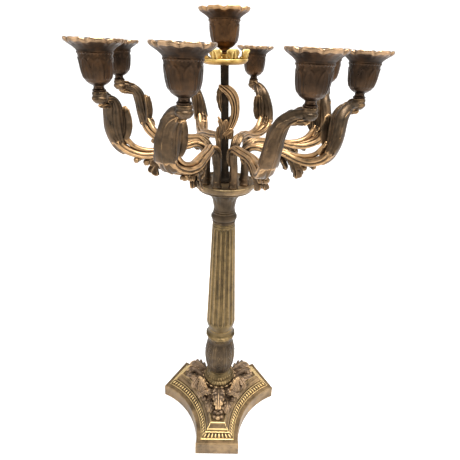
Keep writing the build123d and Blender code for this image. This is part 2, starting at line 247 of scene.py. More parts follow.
def leaf(casting, rows, across, lobes=4, cut=0.35, cupping=0.25, vein=0.5, thick=1.8, sweep=0.5, fine=1.0,
         rib=0.7, tint=0.0, tip_tint=0.0):
    """An acanthus leaf. Each row: place and half width. across points to its right when the tip is ahead."""
    count, half = int(70 * FINE * fine), int(14 * FINE * fine)
    c = through(rows, count)
    place, w = c[:, :3], np.maximum(c[:, 3], 0.15)
    along = unit(np.gradient(place, axis=0))
    across = np.broadcast_to(np.asarray(across, float), place.shape)
    side = unit(across - along * (across * along).sum(1, keepdims=True))
    face = np.cross(side, along)
    s = np.linspace(0, 1, count)[:, None]
    u = np.linspace(-1, 1, 2 * half + 1)[None, :]
    wave = np.abs(np.sin(math.pi * lobes * s**0.9))
    edge = 1 - cut * (1 - wave) ** 1.6
    near_tip = smooth((1 - s) / 0.12)
    reach = w[:, None] * (1 - (1 - edge) * np.abs(u) * near_tip)
    lag = sweep * w[:, None] * np.abs(u) ** 1.4 * (0.4 + 0.6 * wave)
    height = -cupping * w[:, None] * u**2
    height += vein * (wave - 0.6) * np.abs(u) ** 0.8 * smooth(w[:, None] / 3)
    height += rib * (bump(u, 0, 0.12) - 0.6 * bump(np.abs(u), 0.3, 0.12)) * smooth(w[:, None] / 4)
    top = place[:, None] + side[:, None] * (reach * u)[..., None] + along[:, None] * lag[..., None]
    top = top + face[:, None] * height[..., None]
    body = thick * (1 - 0.7 * np.abs(u) ** 2.5) * smooth(w[:, None] / 1.5) + 0.25
    under = top - face[:, None] * (body + 0 * s)[..., None]
    ring = np.concatenate([top, under[:, ::-1]], axis=1)
    shade = tint + tip_tint * smooth((s - 0.45) / 0.5) * np.ones((1, ring.shape[1]))
    casting.grid(ring, shade)


def ball(casting, centre, radii, around=20, tint=0.0):
    """An egg-shaped bead."""
    lat = np.linspace(-math.pi / 2 + 0.12, math.pi / 2 - 0.12, around // 2)[:, None]
    lon = np.linspace(0, TAU, around, endpoint=False)[None, :]
    P = np.stack([np.cos(lat) * np.cos(lon), np.cos(lat) * np.sin(lon), np.sin(lat) + 0 * lon], -1)
    casting.grid(P * np.asarray(radii, float) + np.asarray(centre, float), tint)


def turned(points, angle):
    """Points turned about the Z axis."""
    p = np.array(points, float)
    c, s = math.cos(angle), math.sin(angle)
    x, y = p[..., 0].copy(), p[..., 1].copy()
    p[..., 0], p[..., 1] = c * x - s * y, s * x + c * y
    return p


def leaned(points):
    """Points of the centre light, drawn upright, leaned about its stem's foot onto its socket's axis."""
    tilt = math.atan2(CENTRE_AXIS[0], CENTRE_AXIS[2])
    p = np.array(points, float)
    c, s = math.cos(tilt), math.sin(tilt)
    x, z = p[..., 0].copy(), p[..., 2] - HUB_TOP
    p[..., 0], p[..., 2] = c * x + s * z, HUB_TOP + c * z - s * x
    return p


# ------------------------------------------------------------------ materials


class Recipe:
    """A material and its shader nodes. A value given to a node is a colour, a number or another output."""

    def __init__(self, name):
        self.material = bpy.data.materials.new(name)
        self.material.use_nodes = True
        self.nodes, self.links = self.material.node_tree.nodes, self.material.node_tree.links
        self.inputs = self.nodes["Principled BSDF"].inputs

    def feed(self, socket, value):
        if hasattr(value, "is_output"):
            self.links.new(value, socket)
        else:
            socket.default_value = value

    def noise(self, size, detail, roughness, distortion=0.0):
        node = self.nodes.new("ShaderNodeTexNoise")
        self.feed(node.inputs["Vector"], self.nodes.new("ShaderNodeTexCoord").outputs["Object"])
        self.feed(node.inputs["Scale"], size)
        self.feed(node.inputs["Detail"], detail)
        self.feed(node.inputs["Roughness"], roughness)
        self.feed(node.inputs["Distortion"], distortion)
        return node.outputs[0]

    def attribute(self, layer):
        node = self.nodes.new("ShaderNodeAttribute")
        node.attribute_name = layer
        return node.outputs["Fac"]

    def maths(self, kind, a, b):
        node = self.nodes.new("ShaderNodeMath")
        node.operation = kind
        self.feed(node.inputs[0], a)
        self.feed(node.inputs[1], b)
        return node.outputs[0]

    def plus(self, a, b):
        return self.maths("ADD", a, b)

    def times(self, a, b):
        return self.maths("MULTIPLY", a, b)

    def mix(self, share, a, b):
        node = self.nodes.new("ShaderNodeMix")
        node.data_type = "RGBA"
        self.feed(node.inputs[0], share)
        self.feed(node.inputs[6], a)
        self.feed(node.inputs[7], b)
        return node.outputs[2]

    def graded(self, value, *stops):
        """A colour ramp. Each stop: position and colour."""
        node = self.nodes.new("ShaderNodeValToRGB")
        while len(node.color_ramp.elements) < len(stops):
            node.color_ramp.elements.new(0.5)
        for element, (at, colour) in zip(node.color_ramp.elements, stops):
            element.position = at
            element.color = colour
        self.feed(node.inputs[0], value)
        return node.outputs[0]

    def roughened(self, height, strength, distance):
        node = self.nodes.new("ShaderNodeBump")
        self.feed(node.inputs["Height"], height)
        self.feed(node.inputs["Strength"], strength)
        self.feed(node.inputs["Distance"], distance)
        return node.outputs[0]


BLACK, WHITE = (0, 0, 0, 1), (1, 1, 1, 1)


def shader_colour(colour, strength=1.0):
    """An sRGB colour written as 0 to 255, as the shader takes it."""
    linear = (((c / 255 + 0.055) / 1.055) ** 2.4 if c > 10 else c / 255 / 12.92 for c in colour)
    return (*(c * strength for c in linear), 1)


def patina(name, dark, middle, light, bright_tone, wear=0.62, rough=(0.3, 0.52), scale=1.0, metallic=0.9,
           grime_and_shade_depth=0.85):
    """Aged brass: cloudy tarnish, dirt in the grooves and bright metal on the rubbed edges, and the painted
    highlights and painted shade that each piece's tint attribute carries, laid on in the same bright and dark
    tones.
    The colours are sRGB, 0 to 255. wear is how convex an edge is, with the tint added, before it turns
    bright."""
    m = Recipe(name)
    cloud = m.noise(28 * scale, 5, 0.6, 0.6)
    blotch, speck = m.noise(120 * scale, 6, 0.65), m.noise(900 * scale, 3, 0.7)
    tarnish = m.graded(m.plus(m.times(cloud, 0.6), m.times(blotch, 0.4)), (0.36, shader_colour(dark)),
                       (0.5, shader_colour(middle)), (0.64, shader_colour(light)))
    patchy = m.times(m.maths("SUBTRACT", blotch, 0.5), 0.3)
    # The tint attribute lifts or lowers the convexity: painted highlights and wear above 0, painted shade and
    # dirt below.
    wear_and_light = m.plus(m.plus(m.attribute("edge"), patchy), m.times(m.attribute("tint"), 0.3))
    # Bright on convex edges and where the tint is high: wear, and painted highlights.
    wear_and_highlight = m.graded(wear_and_light, (wear - 0.06, BLACK), (wear + 0.14, WHITE))
    # Dark in the grooves and where the tint is low: dirt, and painted shade.
    grime_and_shade = m.graded(wear_and_light, (0.26, WHITE), (0.46, BLACK))
    clean = m.mix(wear_and_highlight, tarnish, shader_colour(bright_tone))
    m.feed(m.inputs["Base Color"], m.mix(m.times(grime_and_shade, grime_and_shade_depth), clean, shader_colour(dark, 0.25)))
    polished, dull = ((value, value, value, 1) for value in rough)
    spread = m.graded(blotch, (0.35, polished), (0.65, dull))
    roughness = m.maths("SUBTRACT", m.plus(spread, m.times(grime_and_shade, 0.3)), m.times(wear_and_highlight, 0.02))
    m.feed(m.inputs["Roughness"], roughness)
    m.feed(m.inputs["Metallic"], metallic)
    m.feed(m.inputs["Normal"], m.roughened(m.plus(m.times(blotch, 0.7), m.times(speck, 0.3)), 0.25, 0.6 * MM))
    return m.material


BASE_BRASS = patina("base_patina", (74, 60, 42), (110, 90, 64), (138, 114, 82), (226, 196, 136),
                    rough=(0.4, 0.58), metallic=0.8, grime_and_shade_depth=0.6)
LEAF_BRASS = patina("leaf_patina", (66, 53, 41), (104, 85, 66), (134, 110, 86), (190, 158, 116),
                    rough=(0.42, 0.6), scale=1.4, metallic=0.75, grime_and_shade_depth=0.45)
SHAFT_BRASS = patina("shaft_patina", (54, 45, 30), (82, 68, 44), (106, 88, 58), (168, 140, 96),
                     wear=0.6, rough=(0.36, 0.54), grime_and_shade_depth=0.7)
AGED_BRASS = patina("aged_patina", (42, 34, 25), (68, 56, 42), (90, 74, 54), (150, 124, 92),
                    wear=0.64, rough=(0.4, 0.58), grime_and_shade_depth=0.7)
ARM_BRASS = patina("arm_patina", (44, 37, 28), (73, 58, 42), (102, 80, 57), (184, 147, 104),
                   rough=(0.34, 0.54))
CUP_BRASS = patina("cup_patina", (38, 28, 20), (56, 41, 28), (78, 54, 33), (178, 146, 112),
                   wear=0.76, rough=(0.26, 0.42))
CENTRE_CUP_BRASS = patina("centre_cup_patina", (52, 35, 20), (78, 54, 32), (104, 72, 42), (186, 148, 104),
                          wear=0.74, rough=(0.3, 0.46))
PAN_BRASS = patina("pan_patina", (84, 62, 28), (138, 106, 50), (172, 134, 70), (226, 198, 126))
STEEL = patina("dull_steel", (90, 88, 84), (120, 118, 112), (148, 146, 140), (190, 188, 182))


# ------------------------------------------------------------------ base


FOOT_REACH, FOOT_HALF, WAIST = 94.2, 33.7, 55.5
FOOT_POINTS, SIDE_POINTS = 84, 226
FOOT_EGGS, SIDE_EGGS = 8, 25
BAND_FOOT, BAND_TOP = 25.2, 32.0
REEDS_FOOT, REEDS_TOP = 35.6, 43.6
UNDERSIDE, DECK = 17.0, 43.4
# The share of the front foot's painted highlight that the two side feet get.
SIDE_FOOT_LIGHT = 0.35


def tripod(inset):
    """The base's outline moved in by inset, counter-clockwise. With it: where each point lies along its
    own side, from -1 to 1, and whether that side is a foot's end."""
    corner_out = FOOT_HALF * math.sin(SIXTY) + FOOT_REACH * math.cos(SIXTY)
    corner_over = math.sqrt(FOOT_HALF**2 + FOOT_REACH**2 - corner_out**2)
    centre = (corner_out**2 + corner_over**2 - WAIST**2) / (2 * (corner_out - WAIST))
    radius = centre - WAIST + inset
    rise = FOOT_REACH - inset - centre * math.cos(SIXTY)
    half = centre * math.sin(SIXTY) - math.sqrt(radius**2 - rise**2)
    foot_share = np.arange(FOOT_POINTS) / FOOT_POINTS * 2 - 1
    foot = np.stack([half * foot_share, 0 * foot_share - (FOOT_REACH - inset)], -1)
    out = np.array([math.cos(SIXTY / 2), -math.sin(SIXTY / 2)])
    over = np.array([-out[1], out[0]])
    spread = math.asin(abs(np.array([half, inset - FOOT_REACH]) @ over) / radius)
    side_share = np.arange(SIDE_POINTS) / SIDE_POINTS * 2 - 1
    angle = (side_share * spread)[:, None]
    side = centre * out - radius * np.cos(angle) * out + radius * np.sin(angle) * over
    third = np.concatenate([foot, side])
    ring = np.concatenate([turned(third, k * TAU / 3) for k in range(3)])
    share = np.tile(np.concatenate([foot_share, side_share]), 3)
    is_foot = np.tile(np.repeat([1.0, 0.0], [FOOT_POINTS, SIDE_POINTS]), 3)
    return ring, share, is_foot


def base_relief(inset, z, share, is_foot):
    """How far the casting stands out along one ring of its outline, and its painted light there: painted
    highlights on the egg crests, fillets and foot borders, brightest on the front foot, and painted shade
    between the eggs.
    """
    band = (z - BAND_FOOT) / (BAND_TOP - BAND_FOOT)
    cell = np.abs(((share + 1) / 2 * np.where(is_foot > 0, FOOT_EGGS, SIDE_EGGS)) % 1 * 2 - 1)
    inside = smooth(band / 0.06) * smooth((1 - band) / 0.06)
    egg = np.sqrt(np.clip(1 - (cell / 0.66) ** 2 - ((2 * band - 1) / 0.92) ** 2, 0, 1))
    border = is_foot * bump(np.abs(share), 1, 0.05)
    out = inside * (2.4 * egg + 0.4 * bump(cell, 1, 0.14) - 1.3) * (1 - border) + inside * 0.9 * border
    step = (z - REEDS_FOOT) / (REEDS_TOP - REEDS_FOOT)
    reeds = 0.5 - 0.5 * math.cos(2 * TAU * step)
    edges = smooth(step / 0.1) * smooth((1 - step) / 0.1)
    out = out + np.where(is_foot > 0, 0.1, 0.9) * reeds * edges + 1.2 * edges * border
    fillet = bump(z, 25.5, 0.5) * (inset > 6) + bump(z, 33.3, 0.6) + bump(z, 36.2, 0.7) + bump(z, 44.6, 0.8)
    # Painted light: the foot borders and fillets are brightest on the front foot, which faces the light, and
    # dimmer on the two side feet.
    bright_tone = is_foot * np.where(np.arange(len(share)) < FOOT_POINTS, 1.0, SIDE_FOOT_LIGHT)
    # Painted highlight on the egg crests and fillets, painted shade between the eggs, and a slight overall
    # darkening.
    shade = inside * (0.9 * egg**2 - 0.5 * (1 - egg)) + (0.9 * bright_tone + 0.3) * fillet
    shade = shade + 0.9 * border * bright_tone * (25.5 < z < 44.9) - 0.12
    return out, np.clip(shade, -0.6, 1)


def make_base():
    """The plinth. Its outline runs from the edge of a foot up to the deck: how far in, and how high."""
    outline = moulding([
        (0.5, 0), (0, 0.5), (0, 22.6), (0.9, 23.5), (6.6, 23.5, 0.4), (6.8, 25.0), (7.6, 25.6),
        (8.2, 25.2), (13.6, 31.9), (13.8, 33.1), (14.8, 33.4), (15.3, 31.8), (16.0, 32.0), (16.2, 35.4),
        (17.2, 36.4), (18.6, 37.6, 1.2), (21.0, 41.0, 1.2), (21.4, 43.6), (22.4, 44.9), (23.8, 44.8),
        (24.2, 43.6),
    ], 0.5, 0.5, 14)
    rows, shades = [], []
    for (inset, z), (d_inset, d_z) in zip(outline, unit(np.gradient(outline, axis=0))):
        ring, share, is_foot = tripod(inset)
        out, shade = base_relief(inset, z, share, is_foot)
        along = np.roll(ring, -1, axis=0) - np.roll(ring, 1, axis=0)
        outward = unit(np.stack([along[:, 1], -along[:, 0]], -1))
        rows.append(np.c_[ring + outward * (out * d_z)[:, None], z + out * d_inset])
        shades.append(shade)
    wall, hollow = tripod(5.0)[0], tripod(26.0)[0]

    def level(ring, z):
        return np.c_[ring, np.full(len(ring), z)]

    under = [level(hollow * k, UNDERSIDE) for k in (0.02, 0.5, 1.0)]
    under += [level(wall, z) for z in (UNDERSIDE, 8.0, 0.0)]
    deck = [level(hollow * k, DECK) for k in (1.0, 0.8, 0.5, 0.25, 0.02)]
    plain = [np.zeros(len(wall))]
    casting = Casting()
    casting.grid(np.array(under + rows + deck), np.array(plain * len(under) + shades + plain * len(deck)))
    casting.piece("base_casting", BASE_BRASS, "stand", ["base_plinth"], "base_brass")


# ------------------------------------------------------------------ leaf mount


def mount_core():
    """The waisted body that the leaves stand on."""
    outline = moulding([(0.5, DECK), (36, DECK), (37, 45), (33, 48, 2), (27, 54, 3), (22, 62, 3),
                        (22.5, 69.8), (0.5, 69.8)], 0.7)

    def lobed(angle, r, z):
        side = np.abs(np.cos(1.5 * (angle + math.pi / 2)))
        fade = smooth((z - 43.5) / 3) * smooth((69 - z) / 6)
        return fade * (1.2 * np.abs(np.sin(12 * angle + 0.12 * z)) - 3.0 * side)

    return lathe(outline, 360, lobed)


def foot_leaves():
    """The group over one foot, drawn towards -Y: a long bowed leaf, side leaves, berries and a stalk."""
    part = Casting()
    spine = [(21, 66, 7), (27, 71, 8.4), (34, 75.5, 9.6), (41, 78, 9.8), (48, 77.5, 9.0), (54, 74.5, 7.6),
             (58.5, 70, 6.2), (60.8, 65, 4.8), (60.8, 61, 3.4), (59, 58.6, 1.5)]
    leaf(part, [(0, -r, z, w) for r, z, w in spine], (-1, 0, 0), lobes=6, cut=0.3, cupping=0.32, vein=2.0,
         thick=3.4, sweep=0.5, fine=1.6, rib=1.1, tip_tint=0.7)
    beside = dict(lobes=4, cut=0.35, cupping=0.3, vein=1.1, thick=2.2, rib=0.8)
    for side in (-1, 1):
        low = [(9 * side, -30, 52, 4), (13 * side, -38, 56, 6), (15 * side, -46, 58.5, 6),
               (15 * side, -52, 57, 5), (13.5 * side, -57, 53.5, 3.6), (11.5 * side, -59.5, 50.5, 1.4)]
        leaf(part, low, (-1, 0, 0), **beside)
        out = [(10 * side, -26, 60, 4), (16 * side, -29, 63, 6), (22 * side, -31, 63, 6),
               (27.5 * side, -32, 60, 4.6), (31 * side, -32, 56, 3.0), (31.5 * side, -31.5, 53.6, 1.2)]
        leaf(part, out, (0, side, 0), **beside)
        ball(part, (4.2 * side, -57.5, 50.6), (3.4, 3.2, 3.4))
        ball(part, (7.6 * side, -50.5, 50.0), (3.4, 3.4, 3.8))
        ball(part, (5.4 * side, -63.4, 46.4), (3.0, 3.0, 3.0))
    ball(part, (0, -59.5, 49.2), (3.2, 3.0, 3.4))
    ball(part, (0, -53.0, 53.0), (4.4, 4.4, 5.0))
    ball(part, (0, -65.5, 46.8), (3.6, 3.4, 3.6), tint=0.4)
    stalk = [(26, 0, 56, 14, 12), (38, 0, 61, 15, 14), (48, 0, 62, 13, 13), (55, 0, 60, 9, 9)]
    part.grid(turned(strap(stalk, 30, 28), -math.pi / 2))
    return part


def side_shell():
    """The shell over one concave side, drawn towards -Y: a fan of seven leaves between two scrolls."""
    shell = Casting()
    root_z = 45.5
    for k in range(-3, 4):
        lean = k * 0.34
        tip_x, tip_z = 19 * math.sin(lean), 50 + 27 * math.cos(lean) ** 0.9
        rise = tip_z - root_z
        rows = [(0.15 * tip_x, -37.5, root_z, 1.6), (0.5 * tip_x, -36.4, root_z + 0.5 * rise, 2.8),
                (0.88 * tip_x, -32.5, root_z + 0.86 * rise, 3.6), (1.06 * tip_x, -32.5, tip_z, 1.6)]
        leaf(shell, rows, (1, 0, 0), lobes=1, cut=0.0, cupping=0.7, vein=0, thick=3.0, sweep=0.3, rib=0.9,
             fine=0.6, tip_tint=0.5)
    for side in (-1, 1):
        ball(shell, (14.5 * side, -35.5, 49.5), (5.4, 4.2, 5.0))
        ball(shell, (14.5 * side, -38.6, 49.5), (2.4, 2.0, 2.4))
    ball(shell, (0, -38.5, 48.5), (4.2, 3.6, 3.8))
    return shell


def collar_leaf():
    """One of the small leaves that ring the top, drawn towards -Y."""
    small = Casting()
    rows = [(0, -22.6, 61, 2.6), (0, -24.6, 65, 3.6), (0, -26.2, 68.5, 3.4), (0, -27.8, 71.2, 1.4)]
    leaf(small, rows, (1, 0, 0), lobes=2, cut=0.2, cupping=0.3, vein=0.3, thick=1.8, rib=0.5, fine=0.4)
    return small


def make_foliage():
    casting = Casting()
    casting.grid(mount_core())
    casting.repeat(foot_leaves(), 3)
    casting.repeat(side_shell(), 3, SIXTY)
    casting.repeat(collar_leaf(), 18, TAU / 36)
    casting.piece("foliate_casting", LEAF_BRASS, "stand", ["foliate_mount"], "base_brass")


# ------------------------------------------------------------------ column


def make_turned(name, node, material, around, relief, step, outline, most=24):
    """A turned casting of the column. Its outline, and the heights in relief, start at its own foot."""
    net = lathe(moulding(outline, step, 0.5, most), around, relief)
    casting = Casting()
    casting.grid(net + np.array([0, 0, foot_of(node)]))
    casting.piece(name, material, "stand", [node], "column_brass")


def make_socket_ring():
    def leaf_edge(angle, r, z):
        low = smooth((z - 0.6) / 1.2) * smooth((7.4 - z) / 1.6) * smooth((r - 19) / 2)
        high = smooth(z - 9) * smooth(14 - z) * smooth((r - 17) / 2)
        return low * 0.7 * np.abs(np.sin(16 * angle)) - low * 0.3 + high * 0.3 * np.sin(30 * angle)

    make_turned("socket_ring_casting", "socket_ring", SHAFT_BRASS, 384, leaf_edge, 0.4, [
        (0.5, 0.2), (22.4, 0.2), (24.6, 2.4, 0.8), (24.0, 5.0), (21.0, 7.4), (20.0, 8.6), (21.0, 10.0, 0.6),
        (20.6, 12.0, 0.6), (18.6, 14.4), (17.6, 17.6), (16.4, 19.0), (16.4, 21.9), (0.5, 21.9)])


def make_baluster():
    strap_count, flower_z = 8, 40

    def straps_and_flowers(angle, r, z):
        """Eight upright straps with a spray of leaves and a flower between them."""
        body = smooth((z - 4) / 3) * smooth((62 - z) / 4) * smooth((r - 16) / 1.5)
        cell = (((angle + math.pi / 2) / TAU * strap_count) % 1) * 2 - 1
        panel = np.abs(cell)
        band = smooth((0.36 - panel) / 0.06)
        lines = 0.9 * band - 0.5 * bump(panel, 0.30, 0.035) - 0.35 * bump(panel, 0.0, 0.04)
        px = (panel - 0.98) * r * math.pi / strap_count
        pz = z - flower_z
        ring_r = np.hypot(px, pz * 0.8)
        petals = 0.9 * bump(ring_r, 3.4, 1.3) * (0.7 + 0.3 * np.cos(6 * np.arctan2(pz, px)))
        petals = petals + 1.1 * bump(ring_r, 0, 1.3)
        fronds = 0.8 * np.abs(np.sin(0.55 * pz + 0.7 * np.abs(px))) * bump(px, 0, 4.0)
        fronds = fronds * smooth(5 - np.abs(px)) * smooth((np.abs(pz) - 5) / 2)
        fronds = fronds * smooth((26 - np.abs(pz + 6)) / 3)
        return body * (lines + petals + fronds)

    make_turned("baluster_casting", "baluster", AGED_BRASS, 520, straps_and_flowers, 0.55, [
        (0.5, 0.1), (16.8, 0.1), (17.6, 1.4), (18.6, 5, 2), (21.3, 12, 4), (23.4, 22, 5), (24.0, 32, 5),
        (23.2, 44, 5), (21.2, 54, 4), (18.6, 60.5, 2), (17.8, 65.9), (0.5, 65.9)])


def make_lower_collar():
    def lobes(angle, r, z):
        lip = smooth((z - 3) / 3) * smooth((13.4 - z) / 2) * smooth((r - 19) / 2)
        return lip * (0.5 * np.abs(np.sin(8 * angle)) - 0.3)

    make_turned("lower_collar_casting", "lower_collar", SHAFT_BRASS, 360, lobes, 0.4, [
        (0.5, 0.1), (17.8, 0.1), (18.6, 2.4), (20.2, 4.0), (22.4, 6.8, 0.8), (23.1, 8.8, 0.8),
        (22.6, 11.2, 0.8), (20.2, 13.2), (19.0, 15.6), (18.6, 18.4), (19.3, 20.2), (19.0, 21.9), (0.5, 21.9)])


def make_shaft():
    flute_count, flute_depth, flute_width, flute_foot, flute_top = 16, 2.1, 0.62, 14.5, 177.0

    def flutes(angle, r, z):
        """Round-ended hollows with a bead on each fillet between them."""
        cell = ((angle / TAU * flute_count) % 1) * 2 - 1
        off_middle = 1 - np.abs(cell)
        from_end = np.minimum(z - flute_foot, flute_top - z)
        half = r * math.pi / flute_count * flute_width
        round_end = np.sqrt(np.clip(1 - np.clip(1 - from_end / half, 0, 1) ** 2, 0, 1))
        reach = np.clip(1 - (off_middle / np.maximum(flute_width * round_end, 1e-3)) ** 2, 0, 1)
        bead = 0.25 * bump(off_middle, 1, 0.14) * smooth(from_end / 6)
        return bead - flute_depth * np.sqrt(reach) * (from_end > 0) * round_end

    make_turned("shaft_casting", "column_shaft", SHAFT_BRASS, 640, flutes, 0.9, [
        (0.5, 0.1), (18.6, 0.1), (19.6, 1.6), (20.0, 3.4, 0.8), (21.4, 8.0, 3), (22.3, 12.5, 2), (22.1, 18),
        (16.4, 171), (16.2, 179.2, 0.6), (15.2, 180.2), (15.9, 181.4), (15.2, 183.9), (0.5, 183.9)], most=60)


def make_upper_collar():
    make_turned("upper_collar_casting", "upper_collar", AGED_BRASS, 320, None, 0.35, [
        (0.5, 0.1), (15.4, 0.1), (16.3, 1.2), (16.3, 2.6), (15.4, 3.6), (16.4, 4.8, 0.5), (17.9, 7.0, 1.2),
        (17.9, 10.4, 1.2), (16.2, 12.8), (15.2, 14.0), (15.6, 15.4), (14.8, 16.9), (0.5, 16.9)])


def make_capital():
    def folds(angle, r, z):
        return 0.5 * np.abs(np.sin(8 * angle)) * smooth((z - 5) / 6) * smooth((31 - z) / 3)

    make_turned("capital_casting", "capital", AGED_BRASS, 320, folds, 0.6, [
        (0.5, 0.1), (14.6, 0.1), (15.0, 1.6), (14.4, 3), (14.7, 10, 3), (16.2, 18, 3), (21.0, 25.5, 3),
        (29, 30, 2), (35.6, 31.6), (36.2, 33.3), (0.5, 33.3)])


def make_hub():
    def uneven(angle, r, z):
        return 0.12 * np.sin(3 * angle) * smooth((r - 37) / 2)

    make_turned("hub_casting", "hub_plate", BASE_BRASS, 360, uneven, 0.45, [
        (0.5, 0.1), (35.6, 0.1), (38.0, 1.1, 0.8), (39.6, 3.1, 0.8), (40.4, 6.9), (40.2, 8.9, 0.4),
        (38.6, 9.5, 0.4), (37.0, 8.1), (35.0, 7.2), (20, 6.9), (0.5, 6.9)])


# ------------------------------------------------------------------ centre light


def stem_rod():
    outline = moulding([(0.5, 0.1), (7.6, 0.1), (8.0, 1.9), (7.2, 4.5), (5.6, 6.9, 1), (5.0, 10.5),
                        (4.6, 26.5, 2), (4.9, 142.3), (0.5, 142.3)], 0.8)
    return lathe(outline, 96) + np.array([0, 0, HUB_TOP])


def stem_growth():
    """Three husks and a curled leaf that grow from the lower half of the stem."""
    growth = Casting()
    for angle, z, reach in ((3.6, 499, 8.4), (4.9, 496, 8.0), (0.1, 494, 7.6)):
        c, s = math.cos(angle), math.sin(angle)
        spine = [(3.4, z - 20, 3.4), (5.6, z - 12, 4.6), (6.6, z - 4, 4.2), (reach, z + 3, 2.8),
                 (reach + 1.6, z + 6, 1.2)]
        leaf(growth, [(r * c, r * s, at, w) for r, at, w in spine], (-s, c, 0), lobes=2, cut=0.2, cupping=0.5,
             vein=0.5, thick=1.8, rib=0.7, fine=0.7, tip_tint=0.3)
    curl = [(6.0, -3.4, 478, 2.2), (8.0, -4.4, 484, 3.0), (7.6, -5.6, 489, 2.6), (5.2, -6.8, 491, 1.3)]
    leaf(growth, curl, (1, 0, 0), lobes=2, cut=0.1, cupping=0.3, vein=0.3, thick=2.4, rib=0.6, fine=0.6,
         tip_tint=0.5)
    return growth


def make_stem():
    """The dark rod, with a long leaf that wraps across its front and back again."""
    casting = Casting()
    casting.grid(stem_rod(), -0.9)
    blade = [(-6.4, -3.6, 542, 1.8), (-2.2, -7.0, 540, 4.2), (4.4, -7.6, 535.4, 6.0),
             (10.0, -5.6, 527.5, 6.4), (12.6, -3.8, 517, 5.8), (12.0, -3.6, 506, 5.0), (8.6, -4.8, 496, 4.2),
             (3.6, -6.4, 488, 3.4), (-1.4, -6.8, 483.6, 1.6)]
    leaf(casting, blade, (-1, 0, 0), lobes=2, cut=0.06, cupping=0.3, vein=0.3, thick=2.4, sweep=0.2, rib=1.5,
         tint=0.4, fine=1.3)
    side_leaf = [(-5.0, -4.2, 541, 1.4), (-6.4, -4.6, 535, 3.2), (-6.6, -4.4, 527, 3.6),
                 (-5.6, -4.2, 519, 3.0), (-3.6, -3.8, 511, 1.4)]
    leaf(casting, side_leaf, (-1, 0, 0), lobes=3, cut=0.2, cupping=0.3, vein=0.5, thick=2.2, rib=0.8,
         tint=-0.2)
    casting.repeat(stem_growth(), 2)
    casting.moved(leaned).piece("centre_stem_casting", ARM_BRASS, "stand", ["centre_stem"], "arm_brass")


def make_pan():
    """The drip pan: a shallow dish with a ring of upturned leaf points."""
    dish = moulding([(0.5, 563.9), (12, 563.6), (19.4, 563.5, 1.5), (23.6, 564.6, 1), (26.6, 567.0, 1),
                     (27.2, 569.2, 0.6), (26.0, 570.2, 0.5), (22.4, 568.2, 1.5), (14, 566.9, 1), (7, 566.9),
                     (6.4, 568.4), (6.0, 574.9), (0.5, 574.9)], 0.6)
    net = lathe(dish, 160)
    casting = Casting()
    # Painted light: the dish's upper face is painted a little lighter, and its underside darker with painted
    # shade.
    casting.grid(net, 0.2 - 0.5 * smooth((567.6 - net[..., 2]) / 1.5))
    point = Casting()
    rows = [(14.5, 0, 566.6, 4.8), (19.6, 0, 567.8, 6.8), (23.4, 0, 569.8, 8.0), (25.8, 0, 573.0, 7.6),
            (27.0, 0, 576.8, 5.2), (28.8, 0, 579.8, 1.6)]
    leaf(point, rows, (0, -1, 0), lobes=2, cut=0.3, cupping=-0.3, vein=1.0, thick=1.6, sweep=0.5, rib=1.3,
         fine=0.8, tip_tint=0.6)
    casting.repeat(point, 8, TAU / 16)
    casting.moved(leaned).piece("drip_pan_casting", PAN_BRASS, "stand", ["centre_drip_pan"], "pan_brass")


# ------------------------------------------------------------------ cups


PETALS = 8
CUP_OUTLINE = [(0.5, -44.9), (5.6, -44.9), (6.8, -44.0, 0.4), (6.8, -43.0, 0.4), (5.4, -41.8), (5.0, -40.2),
               (5.6, -38.8), (7.8, -37.9, 1), (11.2, -35.4, 1.5), (13.5, -31.4, 1.5), (14.9, -26, 2),
               (15.6, -19, 2), (16.2, -11.0), (17.0, -10.2, 0.3), (17.0, -9.4, 0.3), (16.5, -8.9),
               (17.2, -7.4, 1), (20.0, -4.9, 1.5), (23.6, -2.5, 1.2), (26.0, -0.9, 0.8), (27.1, 0.8, 0.8),
               (26.7, 2.6, 0.8), (24.8, 2.8, 0.8), (20.0, 0.4, 1.5), (12.6, -4.6), (11.3, -6.4), (11.3, -30),
               (0.5, -30)]
CENTRE_CUP_SHAPE = np.array([1.05, 1.05, 0.97])
CENTRE_CUP_DROP = 1.3


def petal_cell(angle):
    """Where an angle lies within its petal, from -1 to 1."""
    return ((angle / TAU * PETALS) % 1) * 2 - 1


def petal(cell, height):
    """One row of tall petals: how far they stand out, and where they cover what is behind."""
    off_middle = np.abs(((cell + 1) % 2) - 1)
    width = 0.94 * np.sqrt(np.clip(1 - np.clip((height - 0.45) / 0.52, 0, 1) ** 2, 0, 1))
    inside = smooth((width - off_middle) / 0.16) * (height < 0.98)
    dish = 0.8 - 0.5 * smooth((width - off_middle - 0.1) / 0.5)
    return inside * (dish + 0.2 * bump(off_middle, 0, 0.1)), inside


def cup_relief(angle, r, z):
    """Eight tall petals side by side, a second row behind them, and a ring of beads above the body."""
    cell = petal_cell(angle)
    height = (z + 35.5) / (-13.2 + 35.5)
    outside = smooth((r - 12) / 1.2) * (z < -12.4) * (z > -37)
    front, covered = petal(cell, height)
    back, _ = petal(cell + 1, height)
    bead = (z > -11.4) * (z < -9.2) * (r > 15) * 0.15 * np.sin(32 * angle)
    return outside * (0.8 * front + 0.4 * back * (1 - covered)) + bead


def ruffle(angle, r, z):
    """The rim: eight soft lobes with a notch between each two, lifted at the lobes' shoulders."""
    out = smooth((r - 17.8) / 8) * (z > -8.2)
    cell = np.abs(petal_cell(angle))
    notch = smooth((cell - 0.5) / 0.5)
    return r + out * (0.5 - 2.1 * notch**1.4), z + out * (0.4 * bump(cell, 0.4, 0.3) - 0.9 * notch)


